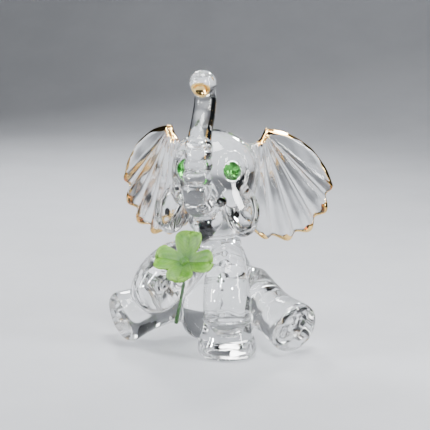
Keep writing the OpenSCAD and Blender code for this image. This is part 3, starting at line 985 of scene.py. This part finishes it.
def gold_film(name, source, f, replaced):
    """Keep the skin of a solid where f is negative, as a thin closed film."""
    (pts, faces, flags), _, _ = split_mesh(source, f, FILM_LEAST)
    faces = faces[~flags]
    used, inverse = np.unique(faces.ravel(), return_inverse=True)
    pts, faces = pts[used], inverse.reshape(-1, 3)
    up = field_normals(pts)
    n = len(pts)
    half = tri_edges(faces)
    back = {(b, a) for a, b in half.tolist()}
    rim = np.array([e for e in half.tolist() if tuple(e) not in back])
    skirt = np.concatenate([np.column_stack([rim[:, 1], rim[:, 0], rim[:, 0] + n]),
                            np.column_stack([rim[:, 1], rim[:, 0] + n, rim[:, 1] + n])])
    both = np.concatenate([pts + up * FILM_LIFT, pts - up * FILM_SINK])
    tris = np.concatenate([faces, faces[:, ::-1] + n, skirt])
    normals = np.concatenate([up, -up])
    flags = np.zeros(len(tris), bool)
    mesh = solid_mesh(name, both, tris, flags, normals, [gold])
    print(name, len(tris), "faces")
    return add_object(name, mesh, replaced)


for side, word in SIDES:
    ear_pts = solids["ear_" + word][0]
    u, y, w = ear_coords(ear_pts, side)
    angle = np.arctan2(w, u)
    part = (angle - ARC_END) / (FAN_END - ARC_END)
    crest = np.cos(2 * math.pi * FLUTES * part)
    in_fan = (part > 0) & (part < 1)
    width = 0.62 + 0.25 * wander(ear_pts, 3.0) + np.where(in_fan, 0.9 * np.maximum(crest, 0) ** 4, 0)
    width = width + 0.5 * np.exp(-(np.hypot(u - 3, w) / 4) ** 2)
    width = np.where(part > 1.02, -1.0, width)
    gold_film("ear_" + word + "_gold", solids["ear_" + word], -outline_distance(u, w) - width,
              "ear_" + word + "_gold_rim")

tip_pts = solids["trunk_tip"][0]
mouth = np.linalg.norm(tip_pts - nostril_mid, axis=1) - 2.25 - 0.22 * wander(tip_pts, 1.2)
gold_film("trunk_tip_gold_lining", solids["trunk_tip"], mouth, "trunk_tip_gold")

# %% [markdown]
# ## Eyes
# Each eye is a cut stone: a ring of points for the girdle, smaller rings above
# and below it, and the hull stretched over them gives the flat facets, just as
# a cutter grinds flats onto a round. It sits in its pocket on a foil cup, which
# is good as the frame has it and only gets a crinkled silver finish.


# %% Gem tree
def geometry_tree(name, ins):
    return new_group(name, "GeometryNodeTree", [("Geometry", "NodeSocketGeometry", None)] + ins,
                     [("Geometry", "NodeSocketGeometry")])


gem_tree, gin, gout = geometry_tree("cut_stone", [
    ("Radius", F, 0.00235), ("Crown", F, 0.00085), ("Girdle", F, 0.00025),
    ("Pavilion", F, 0.0019), ("Table", F, 0.56), ("Material", "NodeSocketMaterial", None)])
gem = {k: Num(gem_tree, gin.outputs[k]) for k in ("Radius", "Crown", "Girdle", "Pavilion", "Table")}
join = gem_tree.nodes.new("GeometryNodeJoinGeometry")


def gem_ring(sides, radius, height, turn):
    ring = gem_tree.nodes.new("GeometryNodeMeshCircle")
    ring.inputs["Vertices"].default_value = sides
    wire(gem_tree, radius, ring.inputs["Radius"])
    place = gem_tree.nodes.new("GeometryNodeTransform")
    lift = gem_tree.nodes.new("ShaderNodeCombineXYZ")
    wire(gem_tree, height, lift.inputs["Z"])
    wire(gem_tree, ring.outputs["Mesh"], place.inputs["Geometry"])
    wire(gem_tree, lift.outputs[0], place.inputs["Translation"])
    place.inputs["Rotation"].default_value = (0, 0, turn)
    wire(gem_tree, place.outputs[0], join.inputs[0])


eighth = math.pi / 8
gem_ring(16, gem["Radius"], gem["Girdle"] * 0, 0)
gem_ring(16, gem["Radius"], gem["Girdle"] * -1, 0)
gem_ring(8, gem["Radius"] * 0.82, gem["Crown"] * 0.52, eighth)
gem_ring(8, gem["Radius"] * gem["Table"], gem["Crown"], 0)
gem_ring(8, gem["Radius"] * 0.5, gem["Girdle"] * -1 - gem["Pavilion"] * 0.55, eighth)
gem_ring(8, gem["Radius"] * 0.06, gem["Girdle"] * -1 - gem["Pavilion"], 0)
hull = gem_tree.nodes.new("GeometryNodeConvexHull")
flat_shade = gem_tree.nodes.new("GeometryNodeSetShadeSmooth")
flat_shade.inputs["Shade Smooth"].default_value = False
realize = gem_tree.nodes.new("GeometryNodeRealizeInstances")
paint = gem_tree.nodes.new("GeometryNodeSetMaterial")
wire(gem_tree, gin.outputs["Material"], paint.inputs["Material"])
chain = [join, hull, flat_shade, realize, paint]
for a, b in zip(chain[:-1], chain[1:]):
    wire(gem_tree, a.outputs[0], b.inputs[0])
wire(gem_tree, paint.outputs[0], gout.inputs[0])


# %% [markdown]
# A tree is run once on an empty mesh. Its result is kept as a plain mesh, and
# the modifier is taken off again, so that the finished piece has none.


# %% Run a tree and keep its mesh
def grow(name, base, tree, values, placing, mats):
    """Evaluate a geometry tree on a base mesh, place the result and keep it as a mesh."""
    obj = bpy.data.objects.new(name + "_base", base)
    bpy.context.scene.collection.objects.link(obj)
    mod = obj.modifiers.new("shape", "NODES")
    mod.node_group = tree
    ids = {s.name: s.identifier for s in tree.interface.items_tree if s.in_out == "INPUT"}
    for key, value in values.items():
        mod[ids[key]] = value
    bpy.context.view_layer.update()
    graph = bpy.context.evaluated_depsgraph_get()
    mesh = bpy.data.meshes.new_from_object(obj.evaluated_get(graph))
    obj.modifiers.remove(mod)
    bpy.data.objects.remove(obj)
    mesh.name = name
    mesh.transform(placing)
    if not mesh.materials:
        for mat in mats:
            mesh.materials.append(mat)
    mesh.update()
    return mesh


def place_matrix(x_axis, y_axis, z_axis, origin_mm):
    m = Matrix.Identity(4)
    for k, axis in enumerate((x_axis, y_axis, z_axis)):
        for r in range(3):
            m[r][k] = float(axis[r])
    for r in range(3):
        m[r][3] = float(origin_mm[r]) * MM
    return m


for side, word in SIDES:
    out, across, up = eye_frame(side)
    seat = head_mid + out * (head_r - SEAT_DEPTH + 0.25)
    mesh = grow("eye_%s_stone" % word, bpy.data.meshes.new("empty"), gem_tree,
                {"Material": stone}, place_matrix(across, up, out, seat), [stone])
    add_object("eye_%s_stone" % word, mesh, "eye_%s_crystal" % word)
    foil_cup = bpy.data.objects["eye_%s_foil" % word]
    foil_cup.material_slots[0].material = foil
    print(word, "eye stone:", len(mesh.polygons), "facets")

# %% [markdown]
# ## The clover
# Four leaves are grown from one tree. A flat grid is bent into a petal that is
# narrow at its root and notched at its tip, cupped along its length and folded
# at the midrib, and then given thickness. The leaves differ only in the values
# of the tree's inputs, as leaves pressed from one die and bent by hand do.

# %% Leaf tree
leaf_tree, gin, gout = geometry_tree("clover_leaf", [
    ("Length", F, 0.0066), ("Width", F, 0.0037), ("Notch", F, 0.24), ("Cup", F, 0.0012),
    ("Fold", F, 0.35), ("Thickness", F, 0.00045), ("Phase", F, 0.0),
    ("Material", "NodeSocketMaterial", None)])
L = {k: Num(leaf_tree, gin.outputs[k]) for k in ("Length", "Width", "Notch", "Cup", "Fold", "Phase")}
sheet = leaf_tree.nodes.new("GeometryNodeMeshGrid")
sheet.inputs["Size X"].default_value = 2.0
sheet.inputs["Size Y"].default_value = 1.0
sheet.inputs["Vertices X"].default_value = 49
sheet.inputs["Vertices Y"].default_value = 61
where = leaf_tree.nodes.new("GeometryNodeInputPosition")
apart = leaf_tree.nodes.new("ShaderNodeSeparateXYZ")
wire(leaf_tree, where.outputs[0], apart.inputs[0])
t_leaf = Num(leaf_tree, apart.outputs["X"])
s_leaf = Num(leaf_tree, apart.outputs["Y"]) + 0.5
store = leaf_tree.nodes.new("GeometryNodeStoreNamedAttribute")
store.data_type = "FLOAT_VECTOR"
store.inputs["Name"].default_value = "leaf_st"
pair = leaf_tree.nodes.new("ShaderNodeCombineXYZ")
wire(leaf_tree, t_leaf, pair.inputs["X"])
wire(leaf_tree, s_leaf, pair.inputs["Y"])
wire(leaf_tree, pair.outputs[0], store.inputs["Value"])

own_st = leaf_tree.nodes.new("GeometryNodeInputNamedAttribute")
own_st.data_type = "FLOAT_VECTOR"
own_st.inputs["Name"].default_value = "leaf_st"
own_apart = leaf_tree.nodes.new("ShaderNodeSeparateXYZ")
wire(leaf_tree, own_st.outputs[0], own_apart.inputs[0])
t, s = (Num(leaf_tree, own_apart.outputs[k]) for k in ("X", "Y"))
bulge = (0.30 + 0.70 * (s ** 0.8)) * ((1 - s ** 6).high(0.0) ** 0.5)
half_width = L["Width"] * bulge
reach = s - L["Notch"] * (s ** 5) * ((1 - t.abs()).high(0.0) ** 2.0)
x_leaf = t * half_width
y_leaf = L["Length"] * (0.06 + 0.94 * reach)
fold_up = L["Fold"] * half_width * t.abs() * (1 - 0.35 * t.abs())
rib_line = (1 - (t.abs() * 14).low(1.0)) * (1 - s) * 0.00018
wave = ((s * 9 + L["Phase"]).sin() * t * s * 0.00035) + ((t * 11 + s * 5).sin() * s * 0.00010)
z_leaf = L["Cup"] * (s * s) - L["Cup"] * 0.55 * (s ** 5) + fold_up + wave - rib_line
shape = leaf_tree.nodes.new("ShaderNodeCombineXYZ")
for value, key in ((x_leaf, "X"), (y_leaf, "Y"), (z_leaf, "Z")):
    wire(leaf_tree, value, shape.inputs[key])
bend = leaf_tree.nodes.new("GeometryNodeSetPosition")
wire(leaf_tree, shape.outputs[0], bend.inputs["Position"])
weld = leaf_tree.nodes.new("GeometryNodeMergeByDistance")
weld.inputs["Distance"].default_value = 0.00001
thick = leaf_tree.nodes.new("GeometryNodeExtrudeMesh")
thick.inputs["Individual"].default_value = False
wire(leaf_tree, gin.outputs["Thickness"], thick.inputs["Offset Scale"])
under = leaf_tree.nodes.new("GeometryNodeFlipFaces")
leaf_join = leaf_tree.nodes.new("GeometryNodeJoinGeometry")
weld_all = leaf_tree.nodes.new("GeometryNodeMergeByDistance")
weld_all.inputs["Distance"].default_value = 0.000004
smooth = leaf_tree.nodes.new("GeometryNodeSetShadeSmooth")
leaf_real = leaf_tree.nodes.new("GeometryNodeRealizeInstances")
leaf_paint = leaf_tree.nodes.new("GeometryNodeSetMaterial")
wire(leaf_tree, gin.outputs["Material"], leaf_paint.inputs["Material"])
chain = [sheet, store, bend, weld, thick, leaf_join, weld_all, smooth, leaf_real, leaf_paint]
for a, b in zip(chain[:-1], chain[1:]):
    wire(leaf_tree, a.outputs[0], b.inputs[0])
wire(leaf_tree, weld.outputs[0], under.inputs[0])
wire(leaf_tree, under.outputs[0], leaf_join.inputs[0])
wire(leaf_tree, leaf_paint.outputs[0], gout.inputs[0])

# %% Grow four leaves
clover_mid = middle("clover_centre")
upward = middle("clover_leaf_top") - middle("clover_leaf_bottom")
sideways = middle("clover_leaf_left") - middle("clover_leaf_right")
face_on = unit(np.cross(sideways, upward))
leaf_shapes = {
    "top": {"Length": 0.0078, "Width": 0.0044, "Cup": 0.0019, "Phase": 0.4},
    "left": {"Length": 0.0070, "Width": 0.0041, "Cup": 0.0013, "Phase": 1.9},
    "bottom": {"Length": 0.0054, "Width": 0.0043, "Cup": 0.0008, "Phase": 3.3},
    "right": {"Length": 0.0072, "Width": 0.0042, "Cup": 0.0015, "Phase": 4.8},
}
for word, values in leaf_shapes.items():
    aim = middle("clover_leaf_" + word) - clover_mid
    ahead = unit(aim - face_on * (aim @ face_on))
    mesh = grow("clover_leaf_%s_enamel" % word, bpy.data.meshes.new("empty"), leaf_tree,
                {**values, "Material": leaf_mat},
                place_matrix(np.cross(ahead, face_on), ahead, face_on, clover_mid), [leaf_mat])
    add_object(mesh.name, mesh, "clover_leaf_" + word)
    print(word, "leaf:", len(mesh.polygons), "faces")

# %% [markdown]
# The middle of the clover is a small domed button with a dimple towards each
# leaf, and the stem is a tapering rod that was drawn out of the same enamel
# and leans from the button down to the raised foot.


# %% Button and stem
def dome(rings, sides, radius, height, depth):
    """A closed lobed dome, its pole up, in millimetres."""
    pts = [vec(0, 0, height)]
    for i in range(1, rings + 1):
        a = math.pi * i / (rings + 1)
        for j in range(sides):
            b = 2 * math.pi * j / sides
            r = radius * math.sin(a) * (1 + 0.10 * math.cos(4 * b) * math.sin(a))
            z = height * math.cos(a) if a < math.pi / 2 else depth * math.cos(a)
            dimple = 0.06 * math.cos(8 * b) * math.sin(2 * a)
            pts.append(vec(r * math.cos(b), r * math.sin(b), z + dimple))
    pts.append(vec(0, 0, -depth))
    faces = [(0, 1 + j, 1 + (j + 1) % sides) for j in range(sides)]
    for i in range(rings - 1):
        for j in range(sides):
            a, b = 1 + i * sides + j, 1 + i * sides + (j + 1) % sides
            faces.append((a, a + sides, b + sides, b))
    last, k = len(pts) - 1, 1 + (rings - 1) * sides
    faces += [(last, k + (j + 1) % sides, k + j) for j in range(sides)]
    return np.array(pts), faces


BUTTON_R = 1.15
dome_pts, dome_faces = dome(20, 64, BUTTON_R, 1.15, 0.7)
button = bpy.data.meshes.new("clover_button")
button.from_pydata((dome_pts * MM).tolist(), [], dome_faces)
button.polygons.foreach_set("use_smooth", np.ones(len(dome_faces), bool))
# the button's leaf_st puts it at the leaves' root, so it takes the painted shade, darkest at its middle
st = button.attributes.new("leaf_st", "FLOAT_VECTOR", "POINT")
radial = np.hypot(dome_pts[:, 0], dome_pts[:, 1]) / BUTTON_R
st.data.foreach_set("vector", np.column_stack([dome_pts[:, 0] / BUTTON_R, radial * 0.3,
                                               dome_pts[:, 2] * 0]).ravel())
button.materials.append(leaf_mat)
ahead = unit(upward)
button.transform(place_matrix(np.cross(ahead, face_on), ahead, face_on, clover_mid + face_on * 0.3))
add_object("clover_button", button, "clover_centre")

stem_tree, gin, gout = geometry_tree("drawn_stem", [
    ("Start", V, (0, 0, 0)), ("Bend A", V, (0, 0, 0)), ("Bend B", V, (0, 0, 0)), ("End", V, (0, 0, 0)),
    ("Thick", F, 0.00055), ("Thin", F, 0.0003), ("Material", "NodeSocketMaterial", None)])
path = stem_tree.nodes.new("GeometryNodeCurvePrimitiveBezierSegment")
path.inputs["Resolution"].default_value = 48
path_inputs = {"Start": "Start", "Start Handle": "Bend A", "End Handle": "Bend B", "End": "End"}
for key, name in path_inputs.items():
    wire(stem_tree, gin.outputs[name], path.inputs[key])
even = stem_tree.nodes.new("GeometryNodeResampleCurve")
even.inputs["Count"].default_value = 70
factor = Num(stem_tree, stem_tree.nodes.new("GeometryNodeSplineParameter").outputs["Factor"])
thick_r, thin_r = (Num(stem_tree, gin.outputs[k]) for k in ("Thick", "Thin"))
stem_r = thick_r + (thin_r - thick_r) * (factor ** 0.7) + (factor * 42).sin() * 0.000015
profile = stem_tree.nodes.new("GeometryNodeCurvePrimitiveCircle")
profile.inputs["Resolution"].default_value = 20
profile.inputs["Radius"].default_value = 1.0
sweep = stem_tree.nodes.new("GeometryNodeCurveToMesh")
sweep.inputs["Fill Caps"].default_value = True
wire(stem_tree, stem_r, sweep.inputs["Scale"])
stem_smooth = stem_tree.nodes.new("GeometryNodeSetShadeSmooth")
stem_real = stem_tree.nodes.new("GeometryNodeRealizeInstances")
stem_paint = stem_tree.nodes.new("GeometryNodeSetMaterial")
wire(stem_tree, gin.outputs["Material"], stem_paint.inputs["Material"])
wire(stem_tree, profile.outputs[0], sweep.inputs["Profile Curve"])
chain = [path, even, sweep, stem_smooth, stem_real, stem_paint]
for a, b in zip(chain[:-1], chain[1:]):
    wire(stem_tree, a.outputs[0], b.inputs[0])
wire(stem_tree, stem_paint.outputs[0], gout.inputs[0])

stem_low, stem_high = node_box("clover_stem")
stem_start = vec(stem_low[0] + 0.5, stem_high[1] - 0.55, stem_low[2] + 0.5)
stem_end = clover_mid + vec(0, 0.4, -0.9)
mesh = grow("clover_stem_enamel", bpy.data.meshes.new("empty"), stem_tree,
            {"Start": stem_start * MM, "Bend A": (stem_start + vec(2.0, -3.6, 6.4)) * MM,
             "Bend B": (stem_end + vec(-1.9, 5.4, -7.6)) * MM, "End": stem_end * MM,
             "Material": stem_mat}, Matrix.Identity(4), [stem_mat])
add_object("clover_stem_enamel", mesh, "clover_stem")
print("stem:", len(mesh.polygons), "faces")

# %% [markdown]
# ## Stage, light and camera
# Clear glass shows only what surrounds it, so the light makes the picture. A
# pale floor sweeps up to a backdrop that falls into shade, which gives the
# glass something dark to draw its outlines with. Long soft boxes at both sides
# and above run bright lines down the limbs.


# %% Floor and backdrop
def stage_mesh(name, width, profile_pts):
    pts, faces = [], []
    for x in (-width / 2, width / 2):
        pts += [(x, y, z) for y, z in profile_pts]
    n = len(profile_pts)
    for i in range(n - 1):
        faces.append((i, i + n, i + n + 1, i + 1))
    mesh = bpy.data.meshes.new(name)
    mesh.from_pydata(pts, [], faces)
    mesh.polygons.foreach_set("use_smooth", np.ones(len(faces), bool))
    return mesh


sweep_r, sweep_y = 0.25, 0.30
curve = [(sweep_y + sweep_r * math.sin(a), sweep_r - sweep_r * math.cos(a))
         for a in np.linspace(0, math.pi / 2, 24)]
floor_line = [(-0.55, 0.0), (0.0, 0.0)] + curve + [(sweep_y + sweep_r, 0.9)]
floor = bpy.data.objects.new("stage_floor", stage_mesh("stage_floor", 0.64, floor_line))
bpy.context.scene.collection.objects.link(floor)
paper, *_ = finish("stage_paper", (0.50, 0.52, 0.56), (0.54, 0.56, 0.60), 0.75, 0.1, 900, 0.00002, 25.0)
floor.data.materials.append(paper)
print("stage:", len(floor.data.polygons), "faces")

# %% [markdown]
# A soft box is a rectangular lamp turned towards the figurine. Narrow tall ones
# at the sides leave a bright line on every limb, as strip lights do.


# %% Lights
def soft_box(name, place, aim, size, power):
    data = bpy.data.lights.new(name, "AREA")
    data.shape = "RECTANGLE"
    data.size, data.size_y = size
    data.energy = power
    lamp = bpy.data.objects.new(name, data)
    lamp.location = place
    lamp.rotation_euler = (Vector(aim) - Vector(place)).to_track_quat("-Z", "Y").to_euler()
    bpy.context.scene.collection.objects.link(lamp)
    return lamp


target = (0, 0, 0.032)
soft_box("box_top", (0.03, -0.03, 0.30), target, (0.10, 0.12), 1.1)
soft_box("box_left", (-0.24, -0.10, 0.12), target, (0.02, 0.20), 0.7)
soft_box("box_right", (0.25, -0.06, 0.13), target, (0.025, 0.20), 0.8)
soft_box("box_back", (-0.12, 0.22, 0.20), target, (0.05, 0.08), 0.8)
print(len(bpy.data.lights), "soft boxes")

# %% [markdown]
# Small bright lamps put the sparkle into crystal. They are seen only in
# reflection and through the glass, so they leave the floor's soft light alone.

# %% Sparkle
sparks = [((-0.10, -0.22, 0.22), 2.2), ((0.16, -0.17, 0.17), 1.8), ((-0.20, -0.16, 0.07), 1.2),
          ((0.06, 0.20, 0.18), 1.6), ((0.22, 0.05, 0.24), 1.6)]
for i, (place, power) in enumerate(sparks):
    lamp = soft_box("spark_%d" % i, place, target, (0.02, 0.03), power)
    lamp.visible_diffuse = False
world = bpy.data.worlds.new("studio")
bpy.context.scene.world = world
world.use_nodes = True
sky = world.node_tree.nodes["Background"]
sky.inputs["Color"].default_value = (0.30, 0.34, 0.42, 1)
sky.inputs["Strength"].default_value = 0.03
print(len(sparks), "sparks")

# %% [markdown]
# A long lens from a little above and to one side keeps the figurine in true
# proportion. Light has to pass many walls of glass, so it may bounce often.

# %% Camera
AZIMUTH, ELEVATION = math.radians(13), math.radians(12)
DISTANCE = 0.403
aim = Vector((-0.00063, 0.0042, 0.0313))
away = Vector((math.sin(AZIMUTH) * math.cos(ELEVATION), -math.cos(AZIMUTH) * math.cos(ELEVATION),
               math.sin(ELEVATION)))
lens = bpy.data.cameras.new("camera")
lens.lens = 135
lens.sensor_width = 36
camera = bpy.data.objects.new("camera", lens)
camera.location = aim + away * DISTANCE
camera.rotation_euler = (-away).to_track_quat("-Z", "Y").to_euler()
bpy.context.scene.collection.objects.link(camera)
bpy.context.scene.camera = camera

bounces = bpy.context.scene.cycles
bounces.max_bounces = 32
bounces.transmission_bounces = 32
bounces.glossy_bounces = 16
bounces.transparent_max_bounces = 64
bounces.diffuse_bounces = 4
print("camera at", [round(c, 3) for c in camera.location])
